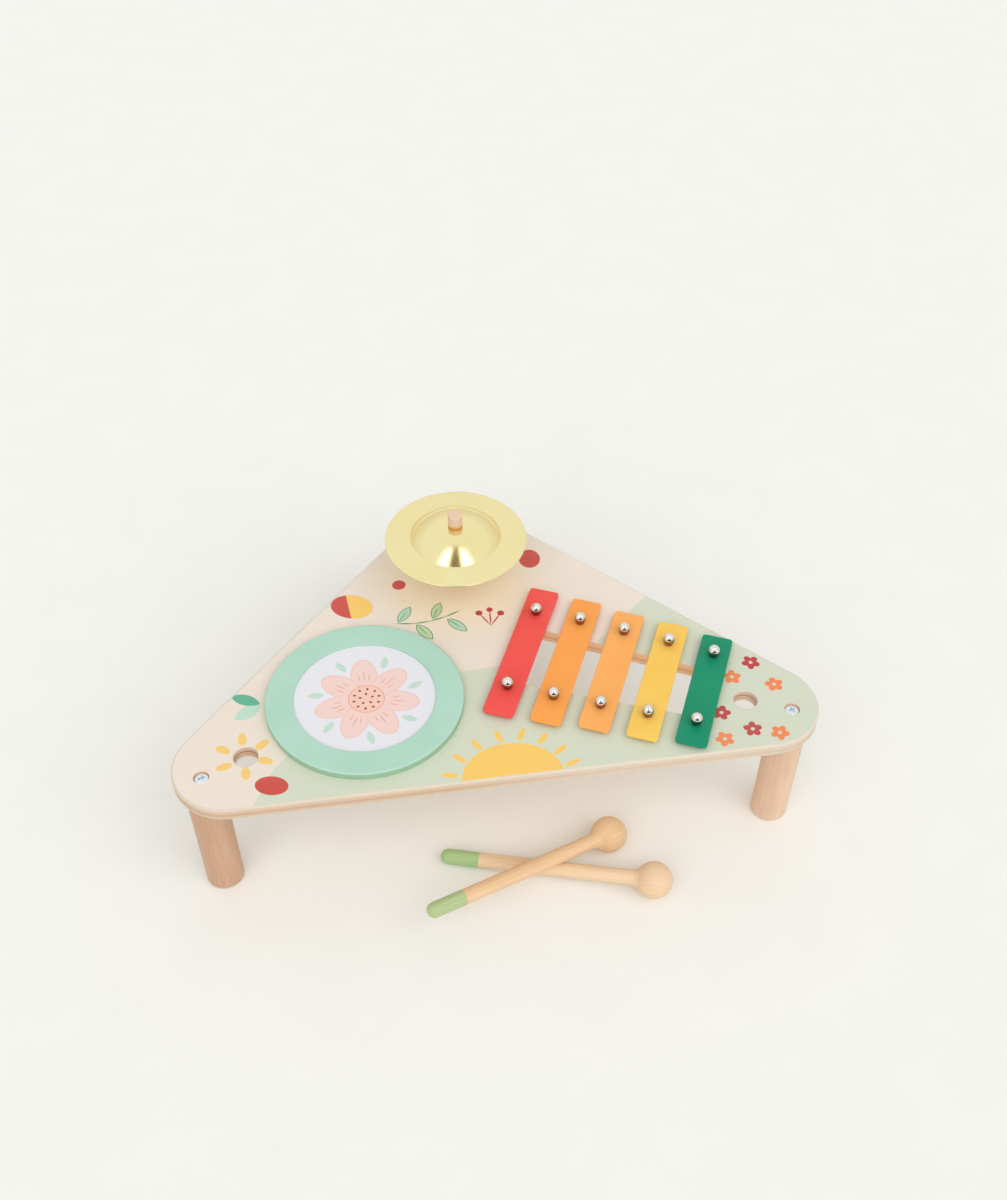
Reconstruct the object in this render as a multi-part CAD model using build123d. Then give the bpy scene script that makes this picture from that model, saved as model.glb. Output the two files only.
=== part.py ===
from build123d import *
import math
import os

os.makedirs("parts", exist_ok=True)

# Musical activity table: a rounded-triangle board on three legs, with a drum, a five-bar
# xylophone, a cymbal on a post, and two mallets lying on the floor in front of it.
# Millimetres. Plan positions are measured from the middle of the long front edge, +X right,
# +Y back, +Z up from the floor. Each shape is moved to the set's own origin when written.

# ---- table board ----
table_depth = 263.5
table_height = 107.0
board_thickness = 10.0
corner_radius = 36.0
apex_offset = -4.6              # the back corner stands a little left of the middle
board_edge_radius = 1.5

# ---- legs and their fixings ----
leg_diameter = 25.0
leg_corner_margin = 4.8         # board left between a leg and the tip of its corner
leg_foot_radius = 2.0
leg_screw_diameter = 5.0
leg_screw_grip = 16.0           # how far a leg screw reaches into its leg
leg_screw_head_diameter = 9.4
leg_screw_head_height = 2.8
leg_screw_recess = 0.7          # top of the head below the board's face
leg_insert_diameter = 8.0
leg_insert_length = 14.0

# ---- mallet holes ----
mallet_hole_diameter = 15.6
mallet_hole_from_leg = 30.7
mallet_hole_edge_radius = 0.7

# ---- drum ----
drum_from_corner = (89.7, 40.4)         # along the front and back, from the left corner's centre
drum_to_bars_gap = 8.95                 # across, from the drum's ring to the first bar
drum_diameter = 130.2
drum_ring_width = 18.4
drum_ring_height = 5.2
drum_lip_thickness = 1.3        # ring left over the edge of the skin
drum_ring_edge_radius = 1.2
drum_skin_thickness = 0.4
drum_hoop_width = 5.0
drum_ledge = 4.7                # board that the hoop stands on, inside its opening
drum_screw_count = 4
drum_screw_diameter = 3.0
drum_screw_head_diameter = 6.0
drum_screw_head_height = 1.8
drum_screw_grip = 3.4           # how far a ring screw reaches into the ring

# ---- xylophone ----
xylophone_from_corner = (93.1, 40.5)    # along the front and back, from the right corner's centre
xylophone_angle = 24.9          # the row runs down to the right by this many degrees
bar_pitch = 31.2
bar_width = 20.7
bar_thickness = 2.5
bar_corner_radius = 2.6
bar_edge_radius = 0.6
bar_hole_diameter = 4.6
bar_play = 0.5                  # how far a bar can lift off its pads
bar_sizes = {                   # length of each bar, and the distance between its two pins
    "red": (119.5, 71.5),
    "orange": (115.5, 71.5),
    "apricot": (108.5, 69.0),
    "yellow": (105.5, 66.5),
    "green": (98.5, 62.0),
}
pad_diameter = 9.0
pad_hole_diameter = 3.6
pad_height = 2.5
pin_shank_diameter = 3.0
pin_grip = 7.5                  # how far a pin reaches into the board
pin_collar_diameter = 6.4
pin_collar_height = 0.4
pin_head_diameter = 7.8
pin_head_flare = 3.6            # height over which the collar widens to the head
slot_pin_margin = 9.4           # board left between a pin and the slot's edge
slot_corner_radius = 3.0

# ---- cymbal and its post ----
cymbal_setback = 42.4           # from the back corner's centre towards the front
cymbal_side_offset = -5.0
cymbal_height = 36.4            # underside of the rim above the board
cymbal_diameter = 98.4
cymbal_sheet = 0.8
cymbal_bell_diameter = 63.0
cymbal_bell_height = 10.5
cymbal_flange_drop = 1.3
cymbal_crown_diameter = 14.0    # flat middle of the bell
cymbal_bell_blend = 4.0
cymbal_hole_diameter = 6.0
cymbal_rock = 3.0               # degrees, each way about each level axis
column_diameter = 20.0
column_shoulder_diameter = 14.0
column_taper_height = 5.0
column_socket_depth = 4.0
rod_diameter = 4.0
rod_grip = 14.0                 # how far the rod reaches into the column
lower_washer_diameter = 14.0
lower_washer_height = 2.5
upper_washer_height = 1.2
washer_hole_diameter = 5.2
cap_diameter = 10.0
cap_length = 7.6
cap_edge_radius = 1.2
cap_bore_depth = 5.0
column_screw_diameter = 3.5
column_screw_head_diameter = 7.0
column_screw_head_height = 2.2
column_screw_grip = 16.0        # how far the column's screw reaches into it

# ---- mallets ----
mallet_length = 158.7
stick_diameter = 10.5
ball_diameter = 25.0
neck_radius = 8.0
lower_tip = (-39.4, 16.7)
lower_heading = -18.35
upper_ball = (71.7, 13.5)
upper_heading = 24.3

# ---- clearances ----
fixed_gap = 0.05                # between fixed pieces, such as a shank and its hole
slack_gap = 0.2                 # round a screw in its clearance hole, past the tip of a screw
loose_gap = 0.1                 # between a turning or lifting piece and its stop
rest_gap = 0.8                  # straight up, between the two sloping sticks where they cross

# ---- derived ----
board_bottom = table_height - board_thickness
leg_radius = leg_diameter / 2
stick_radius = stick_diameter / 2
ball_radius = ball_diameter / 2
leg_setback = corner_radius - leg_corner_margin - leg_radius
drum_opening = drum_diameter - 2 * drum_ring_width
screw_head_seat = leg_screw_recess + leg_screw_head_height
recess_diameter = leg_screw_head_diameter + 3 * slack_gap


def bar_offset(name):
    """Place of a bar along the row, from the row's middle."""
    return (bar_names.index(name) - (len(bar_names) - 1) / 2) * bar_pitch


def xylophone_reach():
    """From the row's middle across to the far corner of its first bar."""
    turn = math.radians(xylophone_angle)
    across = bar_width / 2 - bar_offset(bar_names[0])
    return across * math.cos(turn) + bar_sizes[bar_names[0]][0] / 2 * math.sin(turn)


# The board is as wide as its drum and xylophone need, with its middle halfway between its corners.
bar_names = list(bar_sizes)
drum_to_xylophone = drum_diameter / 2 + drum_to_bars_gap + xylophone_reach()
front_span = drum_from_corner[0] + drum_to_xylophone + xylophone_from_corner[0]
corners = {
    "front_left": Vector(-front_span / 2, corner_radius),
    "front_right": Vector(front_span / 2, corner_radius),
    "back": Vector(apex_offset, table_depth - corner_radius),
}


def upright(radius, height, x=0.0, y=0.0, z=0.0):
    """A cylinder standing on the point x, y, z."""
    base = (Align.CENTER, Align.CENTER, Align.MIN)
    return Pos(x, y, z) * Cylinder(radius, height, align=base)


def turned(outline):
    """The solid turned about Z from a closed outline of (radius, height) points."""
    return revolve(Plane.XZ * make_face(outline), Axis.Z)


def rims_of(shape, radius):
    """The round edges of a given radius, lowest first."""
    rounds = shape.edges().filter_by(GeomType.CIRCLE)
    return rounds.filter_by(lambda edge: abs(edge.radius - radius) < fixed_gap).sort_by(Axis.Z)


def countersunk_screw(diameter, head_diameter, head_height, length):
    """A wood screw that points up from its flat head at the origin, with a cross recess."""
    r, head = diameter / 2, head_diameter / 2
    point = min(diameter, length / 3)
    outline = Polyline((0, 0), (head, 0), (r, head_height), (r, length - point), (0, length), (0, 0))
    arm = head_diameter * 0.6
    recess = Box(arm, diameter * 0.28, head_height) + Box(diameter * 0.28, arm, head_height)
    return turned(outline) - recess


def countersunk_hole(diameter, head_diameter, head_height, length):
    """The hole for that screw: its head seats on the cone, and the shank has slack round it."""
    r, head = diameter / 2 + slack_gap, head_diameter / 2
    seat = head_height * (head - r) / (head - diameter / 2)
    outline = Polyline((0, 0), (head, 0), (r, seat), (r, length), (0, length), (0, 0))
    return turned(outline)


def outward(name):
    """Unit direction from the board's middle out along a corner's bisector."""
    here = corners[name]
    others = [corners[other] for other in corners if other != name]
    inward = (others[0] - here).normalized() + (others[1] - here).normalized()
    return inward.normalized() * -1


leg_places = {name: corners[name] + outward(name) * leg_setback for name in corners}
mallet_holes = {
    name: leg_places[name] - outward(name) * mallet_hole_from_leg
    for name in ("front_left", "front_right")
}
drum_centre = corners["front_left"] + Vector(*drum_from_corner)
drum = Pos(drum_centre.X, drum_centre.Y, table_height)
row_centre = corners["front_right"] + Vector(-xylophone_from_corner[0], xylophone_from_corner[1])
row = Pos(row_centre.X, row_centre.Y, table_height) * Rot(0, 0, -xylophone_angle)
post_centre = corners["back"] + Vector(cymbal_side_offset, -cymbal_setback)
post = Pos(post_centre.X, post_centre.Y, table_height)


def pin_places(name):
    """The two pins of a bar, in the row's own frame."""
    half = bar_sizes[name][1] / 2
    return [(bar_offset(name), half), (bar_offset(name), -half)]


bar_top = pad_height + bar_thickness
pin_collar_seat = bar_top + bar_play + loose_gap


# ---- cymbal heights above the board ----
cymbal_pivot_radius = max(column_shoulder_diameter, lower_washer_diameter, cap_diameter) / 2
rock_gap = loose_gap + cymbal_pivot_radius * math.tan(math.radians(cymbal_rock))
bell_under = cymbal_height + cymbal_flange_drop + cymbal_bell_height
bell_top = bell_under + cymbal_sheet
lower_washer_seat = bell_under - rock_gap - lower_washer_height
column_height = lower_washer_seat - rock_gap
upper_washer_seat = bell_top + loose_gap
cap_seat = upper_washer_seat + upper_washer_height + rock_gap


def board_outline():
    """The rounded triangle: the corners' centres, spread by the corner radius."""
    return offset(make_face(Polyline(*corners.values(), close=True)), corner_radius, kind=Kind.ARC)


def slot_cutter():
    """The tapered slot under the xylophone, between its two rows of pins."""
    first, last = bar_names[0], bar_names[-1]
    half_first = bar_sizes[first][1] / 2 - slot_pin_margin
    half_last = bar_sizes[last][1] / 2 - slot_pin_margin
    x_first, x_last = bar_offset(first), bar_offset(last)
    shape = make_face(Polyline(
        (x_first, -half_first), (x_last, -half_last), (x_last, half_last), (x_first, half_first),
        close=True,
    ))
    shape = fillet(shape.vertices(), slot_corner_radius)
    return row * Pos(0, 0, -board_thickness) * extrude(shape, board_thickness)


def mallet_hole_cutter(place):
    """A hole right through the board whose two mouths are rounded over."""
    r, e = mallet_hole_diameter / 2, mallet_hole_edge_radius
    half = board_thickness / 2
    outline = (
        Line((0, -half), (r + e, -half))
        + RadiusArc((r + e, -half), (r, e - half), e)
        + Line((r, e - half), (r, half - e))
        + RadiusArc((r, half - e), (r + e, half), e)
        + Polyline((r + e, half), (0, half), (0, -half))
    )
    return Pos(place.X, place.Y, table_height - half) * turned(outline)


def make_board():
    blank = Pos(0, 0, board_bottom) * extrude(board_outline(), board_thickness)
    rims = blank.faces().filter_by(Axis.Z).edges()
    board = fillet(rims, board_edge_radius)
    for place in leg_places.values():
        x, y = place.X, place.Y
        board -= upright(recess_diameter / 2, screw_head_seat, x, y, table_height - screw_head_seat)
        board -= upright(leg_screw_diameter / 2 + slack_gap, board_thickness, x, y, board_bottom)
    for place in mallet_holes.values():
        board -= mallet_hole_cutter(place)
    board -= drum * upright(drum_opening / 2 - drum_ledge, board_thickness, z=-board_thickness)
    for place in drum_screw_places():
        board -= drum * place * Pos(0, 0, -board_thickness) * drum_screw_hole()
    board -= slot_cutter()
    for name in bar_names:
        for x, y in pin_places(name):
            board -= row * upright(pin_shank_diameter / 2 + fixed_gap, pin_grip, x, y, -pin_grip)
    board -= post * upright(column_diameter / 2 + fixed_gap, column_socket_depth, z=-column_socket_depth)
    board -= post * Pos(0, 0, -board_thickness) * column_screw_hole()
    return board


# ---- legs ----
def make_leg(place):
    x, y = place.X, place.Y
    leg = fillet(upright(leg_radius, board_bottom, x, y).edges().group_by(Axis.Z)[0], leg_foot_radius)
    bore = leg_insert_length + slack_gap
    leg -= upright(leg_insert_diameter / 2 + fixed_gap, bore, x, y, board_bottom - bore)
    tip_room = leg_screw_grip + slack_gap
    leg -= upright(leg_screw_diameter / 2 + slack_gap, tip_room, x, y, board_bottom - tip_room)
    return leg


def make_leg_insert(place):
    x, y, z = place.X, place.Y, board_bottom - leg_insert_length
    sleeve = upright(leg_insert_diameter / 2, leg_insert_length, x, y, z)
    return sleeve - upright(leg_screw_diameter / 2 + fixed_gap, leg_insert_length, x, y, z)


def make_leg_screw(place):
    head_seat = table_height - screw_head_seat
    r = leg_screw_head_diameter / 2
    head = upright(r, leg_screw_head_height, z=head_seat)
    head = fillet(head.edges().group_by(Axis.Z)[-1], leg_screw_head_height * 0.45)
    arm = leg_screw_head_diameter * 0.55
    width = leg_screw_diameter * 0.22
    recess = Box(arm, width, leg_screw_head_height) + Box(width, arm, leg_screw_head_height)
    head -= Pos(0, 0, head_seat + leg_screw_head_height) * recess
    length = screw_head_seat_to_tip()
    shank = upright(leg_screw_diameter / 2, length, z=head_seat - length)
    shank = chamfer(shank.edges().group_by(Axis.Z)[0], leg_screw_diameter / 6)
    return Pos(place.X, place.Y, 0) * (head + shank)


def screw_head_seat_to_tip():
    return board_thickness - screw_head_seat + leg_screw_grip


# ---- drum ----
def drum_hoop_radius():
    return drum_opening / 2 + drum_hoop_width


def drum_screw_places():
    """Screws spread round the solid part of the ring, outside the hoop."""
    radius = (drum_hoop_radius() + drum_diameter / 2) / 2
    return [
        Pos(radius * math.cos(angle), radius * math.sin(angle), 0)
        for angle in (math.tau * (i + 0.5) / drum_screw_count for i in range(drum_screw_count))
    ]


def drum_screw_length():
    return board_thickness + drum_screw_grip


def drum_screw_hole():
    return countersunk_hole(
        drum_screw_diameter, drum_screw_head_diameter, drum_screw_head_height, drum_screw_length()
    )


def make_drum_ring():
    ring = upright(drum_diameter / 2, drum_ring_height)
    ring = fillet(ring.edges().group_by(Axis.Z)[-1], drum_ring_edge_radius)
    ring -= upright(drum_opening / 2, drum_ring_height)
    ring = fillet(rims_of(ring, drum_opening / 2)[-1], drum_lip_thickness / 3)
    ring -= upright(drum_hoop_radius() + fixed_gap, drum_ring_height - drum_lip_thickness)
    for place in drum_screw_places():
        ring -= place * upright(drum_screw_diameter / 2 + fixed_gap, drum_screw_grip + slack_gap)
    return drum * ring


def make_drum_skin():
    top = drum_ring_height - drum_lip_thickness
    return drum * upright(drum_hoop_radius(), drum_skin_thickness, z=top - drum_skin_thickness)


def make_drum_hoop():
    height = drum_ring_height - drum_lip_thickness - drum_skin_thickness
    return drum * (upright(drum_hoop_radius(), height) - upright(drum_opening / 2, height))


def make_drum_screw(place):
    screw = countersunk_screw(
        drum_screw_diameter, drum_screw_head_diameter, drum_screw_head_height, drum_screw_length()
    )
    return drum * place * Pos(0, 0, -board_thickness) * screw


# ---- xylophone ----
def make_bar(name):
    length = bar_sizes[name][0]
    bar = extrude(RectangleRounded(bar_width, length, bar_corner_radius), bar_thickness)
    rims = bar.faces().filter_by(Axis.Z).edges()
    bar = Pos(bar_offset(name), 0, pad_height) * fillet(rims, bar_edge_radius)
    for x, y in pin_places(name):
        bar -= upright(bar_hole_diameter / 2, bar_top, x, y)
    return row * bar


def make_pad(x, y):
    ring = upright(pad_diameter / 2, pad_height, x, y)
    return row * (ring - upright(pad_hole_diameter / 2, pad_height, x, y))


def make_pin(x, y):
    """A round-headed pin: shank, collar, and a head as high as a half ball."""
    shank, collar, head = pin_shank_diameter / 2, pin_collar_diameter / 2, pin_head_diameter / 2
    flare = pin_collar_seat + pin_collar_height
    widest = flare + pin_head_flare
    top = widest + head
    outline = (
        Polyline((0, -pin_grip), (shank, -pin_grip), (shank, pin_collar_seat),
                 (collar, pin_collar_seat), (collar, flare), (head, widest))
        + RadiusArc((head, widest), (0, top), -head)
        + Line((0, top), (0, -pin_grip))
    )
    return row * Pos(x, y, 0) * turned(outline)


# ---- cymbal and post ----
def cymbal_skin_line(lift):
    """One face of the cymbal's sheet, from its hole out to its rim."""
    hole, crown = cymbal_hole_diameter / 2, cymbal_crown_diameter / 2
    bell, rim = cymbal_bell_diameter / 2, cymbal_diameter / 2
    base = cymbal_height + cymbal_flange_drop
    run = bell - crown
    arc_radius = (run ** 2 + cymbal_bell_height ** 2) / (2 * cymbal_bell_height)
    half_run = arc_radius * math.sin(math.asin(run / arc_radius) / 2)
    half_drop = arc_radius - math.sqrt(arc_radius ** 2 - half_run ** 2)
    return [
        Line((hole, bell_under + lift), (crown, bell_under + lift)),
        ThreePointArc(
            (crown, bell_under + lift),
            (crown + half_run, bell_under - half_drop + lift),
            (bell, base + lift),
        ),
        Line((bell, base + lift), (rim, cymbal_height + lift)),
    ]


def make_cymbal():
    under, over = cymbal_skin_line(0), cymbal_skin_line(cymbal_sheet)
    hole, rim = cymbal_hole_diameter / 2, cymbal_diameter / 2
    ends = [
        Line((hole, bell_under), (hole, bell_top)),
        Line((rim, cymbal_height), (rim, cymbal_height + cymbal_sheet)),
    ]
    sheet = turned(under + over + ends)
    return post * fillet(rims_of(sheet, cymbal_bell_diameter / 2), cymbal_bell_blend)


def make_washer(diameter, height, seat):
    return post * (
        upright(diameter / 2, height, z=seat) - upright(washer_hole_diameter / 2, height, z=seat)
    )


def make_column():
    r, shoulder = column_diameter / 2, column_shoulder_diameter / 2
    outline = Polyline(
        (0, -column_socket_depth), (r, -column_socket_depth), (r, column_height - column_taper_height),
        (shoulder, column_height), (0, column_height), close=True,
    )
    column = turned(outline)
    column -= upright(rod_diameter / 2 + fixed_gap, rod_grip, z=column_height - rod_grip)
    pilot = column_screw_grip + slack_gap
    column -= upright(column_screw_diameter / 2 + fixed_gap, pilot, z=-column_socket_depth)
    return post * column


def column_screw_length():
    return board_thickness - column_socket_depth + column_screw_grip


def column_screw_hole():
    return countersunk_hole(
        column_screw_diameter, column_screw_head_diameter, column_screw_head_height,
        board_thickness - column_socket_depth,
    )


def make_column_screw():
    screw = countersunk_screw(
        column_screw_diameter, column_screw_head_diameter, column_screw_head_height, column_screw_length()
    )
    return post * Pos(0, 0, -board_thickness) * screw


def make_rod():
    foot = column_height - rod_grip
    return post * upright(rod_diameter / 2, cap_seat + cap_bore_depth - foot, z=foot)


def make_cap():
    cap = upright(cap_diameter / 2, cap_length, z=cap_seat)
    cap = fillet(cap.edges().group_by(Axis.Z)[-1], cap_edge_radius)
    return post * (cap - upright(rod_diameter / 2 + fixed_gap, cap_bore_depth, z=cap_seat))


# ---- mallets ----
def mallet_reach():
    """From the centre of the rounded tip to the centre of the ball."""
    return mallet_length - stick_radius - ball_radius


def make_mallet():
    """A turned mallet along +X, with the centre of its rounded tip at the origin."""
    reach = mallet_reach()
    rise = stick_radius + neck_radius
    span = ball_radius + neck_radius
    run = math.sqrt(span ** 2 - rise ** 2)
    neck_start = (reach - run, stick_radius)
    neck_end = (reach - run * ball_radius / span, rise * ball_radius / span)
    outline = (
        RadiusArc((-stick_radius, 0), (0, stick_radius), stick_radius)
        + Line((0, stick_radius), neck_start)
        + RadiusArc(neck_start, neck_end, -neck_radius)
        + RadiusArc(neck_end, (reach + ball_radius, 0), ball_radius)
        + Line((reach + ball_radius, 0), (-stick_radius, 0))
    )
    return revolve(make_face(outline), Axis.X)


def heading(degrees):
    """Level direction from a mallet's tip to its ball."""
    return Vector(math.cos(math.radians(degrees)), math.sin(math.radians(degrees)))


def crossing():
    """Level distances to the crossing, from the upper mallet's ball and the lower one's tip."""
    back, ahead = heading(upper_heading) * -1, heading(lower_heading)
    between = Vector(*lower_tip) - Vector(*upper_ball)
    turn = back.cross(ahead).Z
    return between.cross(ahead).Z / turn, between.cross(back).Z / turn


def lower_slope():
    """The lower mallet lies on its ball and its tip."""
    return math.asin((ball_radius - stick_radius) / mallet_reach())


def upper_slope():
    """The upper mallet lies on its ball and on the lower mallet's stick."""
    upper_run, lower_run = crossing()
    support = stick_radius + lower_run * math.tan(lower_slope()) + stick_diameter + rest_gap
    return math.atan((support - ball_radius) / upper_run)


def upper_tip():
    reach = mallet_reach()
    level = heading(upper_heading) * (reach * math.cos(upper_slope()))
    height = ball_radius + reach * math.sin(upper_slope())
    return Vector(*upper_ball, height) - level


def make_lower_mallet():
    tilt = Rot(0, -math.degrees(lower_slope()), 0)
    return Pos(*lower_tip, stick_radius) * Rot(0, 0, lower_heading) * tilt * make_mallet()


def make_upper_mallet():
    tilt = Rot(0, math.degrees(upper_slope()), 0)
    return Pos(upper_tip()) * Rot(0, 0, upper_heading) * tilt * make_mallet()


def set_front():
    """Foremost point of the whole set: a mallet's tip or ball, or the board's edge."""
    lower_ball = Vector(*lower_tip) + heading(lower_heading) * (mallet_reach() * math.cos(lower_slope()))
    return min(upper_tip().Y - stick_radius, lower_ball.Y - ball_radius, 0.0)


# ---- write one file per node ----
nodes = {
    "table_top": make_board(),
    "leg_inserts": Compound([make_leg_insert(place) for place in leg_places.values()]),
    "leg_screws": Compound([make_leg_screw(place) for place in leg_places.values()]),
    "drum_ring": make_drum_ring(),
    "drum_skin": make_drum_skin(),
    "drum_hoop": make_drum_hoop(),
    "drum_ring_screws": Compound([make_drum_screw(place) for place in drum_screw_places()]),
    "cymbal_column": make_column(),
    "cymbal_column_screw": make_column_screw(),
    "cymbal_rod": make_rod(),
    "cymbal_lower_washer": make_washer(lower_washer_diameter, lower_washer_height, lower_washer_seat),
    "cymbal": make_cymbal(),
    "cymbal_upper_washer": make_washer(cap_diameter, upper_washer_height, upper_washer_seat),
    "cymbal_cap": make_cap(),
    "mallet_lower": make_lower_mallet(),
    "mallet_upper": make_upper_mallet(),
}
for name, place in leg_places.items():
    nodes["leg_" + name] = make_leg(place)
for name in bar_names:
    nodes["bar_" + name] = make_bar(name)
    nodes["pads_" + name] = Compound([make_pad(x, y) for x, y in pin_places(name)])
    nodes["pins_" + name] = Compound([make_pin(x, y) for x, y in pin_places(name)])

to_origin = Pos(0, -(set_front() + table_depth) / 2, 0)
for name, shape in nodes.items():
    export_step(to_origin * shape, "parts/" + name + ".step")
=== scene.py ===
import math

import bpy
from mathutils import Matrix, Vector


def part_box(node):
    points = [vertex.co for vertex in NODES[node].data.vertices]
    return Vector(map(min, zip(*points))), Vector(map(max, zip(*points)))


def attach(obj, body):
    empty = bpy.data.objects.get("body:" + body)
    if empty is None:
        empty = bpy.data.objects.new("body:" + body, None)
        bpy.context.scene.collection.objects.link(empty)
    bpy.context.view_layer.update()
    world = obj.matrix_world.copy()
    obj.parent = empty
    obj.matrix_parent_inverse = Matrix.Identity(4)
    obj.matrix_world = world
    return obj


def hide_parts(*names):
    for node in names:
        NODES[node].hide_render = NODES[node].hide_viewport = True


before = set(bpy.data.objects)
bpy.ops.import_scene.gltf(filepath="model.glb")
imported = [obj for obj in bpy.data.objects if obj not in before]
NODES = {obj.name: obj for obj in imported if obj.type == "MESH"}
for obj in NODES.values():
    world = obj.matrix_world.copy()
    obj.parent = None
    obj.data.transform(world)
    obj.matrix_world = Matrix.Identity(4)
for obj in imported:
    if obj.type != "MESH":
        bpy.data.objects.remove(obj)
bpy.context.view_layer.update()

# Looks of the musical activity table: materials, turned pieces, stage, lights and camera.
# Blender works in metres. Sizes here are in millimetres in the CAD frame, and MM turns them into
# metres. Pieces take their places from the boxes of the CAD nodes. The prints lie where they were
# measured on the board, in the same frame.
MM = 0.001


def box_mm(node):
    low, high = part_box(node)
    return low / MM, high / MM


def middle(node):
    low, high = box_mm(node)
    return (low + high) / 2


def heading(degrees):
    """A step of one in a direction seen from above, turned anticlockwise from X."""
    angle = math.radians(degrees)
    return Vector((math.cos(angle), math.sin(angle)))


def add_object(name, data):
    made = bpy.data.objects.new(name, data)
    bpy.context.scene.collection.objects.link(made)
    return made


def mesh_object(name, vertices, faces, unit=1.0):
    """A mesh from corners in the given unit."""
    mesh = bpy.data.meshes.new(name)
    mesh.from_pydata([Vector(corner) * unit for corner in vertices], [], faces)
    return add_object(name, mesh)


BOARD_LOW, BOARD_HIGH = box_mm("table_top")
BOARD_TOP = BOARD_HIGH.z
BOARD_BOTTOM = BOARD_LOW.z
BOARD_FRONT = BOARD_LOW.y
LEGS = ("leg_front_left", "leg_front_right", "leg_back")
BARS = ("red", "orange", "apricot", "yellow", "green")
LEFT_HOLE = Vector((-163.06, -66.33))       # the mallet holes
RIGHT_HOLE = Vector((163.0, -66.47))
DRUM = middle("drum_ring").xy


# ======== node trees
def srgb(red, green, blue):
    """A colour written as 0 to 255, as the linear colour that Blender takes."""
    shares = (value / 255 for value in (red, green, blue))
    return (*((s / 12.92 if s < 0.04045 else ((s + 0.055) / 1.055) ** 2.4) for s in shares), 1.0)


class Num:
    """A number that varies over a surface, with ordinary arithmetic."""

    def __init__(self, graph, socket):
        self.graph = graph
        self.socket = socket

    def __add__(self, other):
        return self.graph.math("ADD", self, other)

    def __sub__(self, other):
        return self.graph.math("SUBTRACT", self, other)

    def __rsub__(self, other):
        return self.graph.math("SUBTRACT", other, self)

    def __mul__(self, other):
        return self.graph.math("MULTIPLY", self, other)

    def least(self, other):
        return self.graph.math("MINIMUM", self, other)

    def most(self, other):
        return self.graph.math("MAXIMUM", self, other)

    def ramp(self, start, end):
        """0 at start, 1 at end, and held there on both sides."""
        node = self.graph.node("MapRange")
        self.graph.feed(node.inputs["Value"], self)
        node.inputs["From Min"].default_value = start
        node.inputs["From Max"].default_value = end
        return Num(self.graph, node.outputs["Result"])


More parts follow.
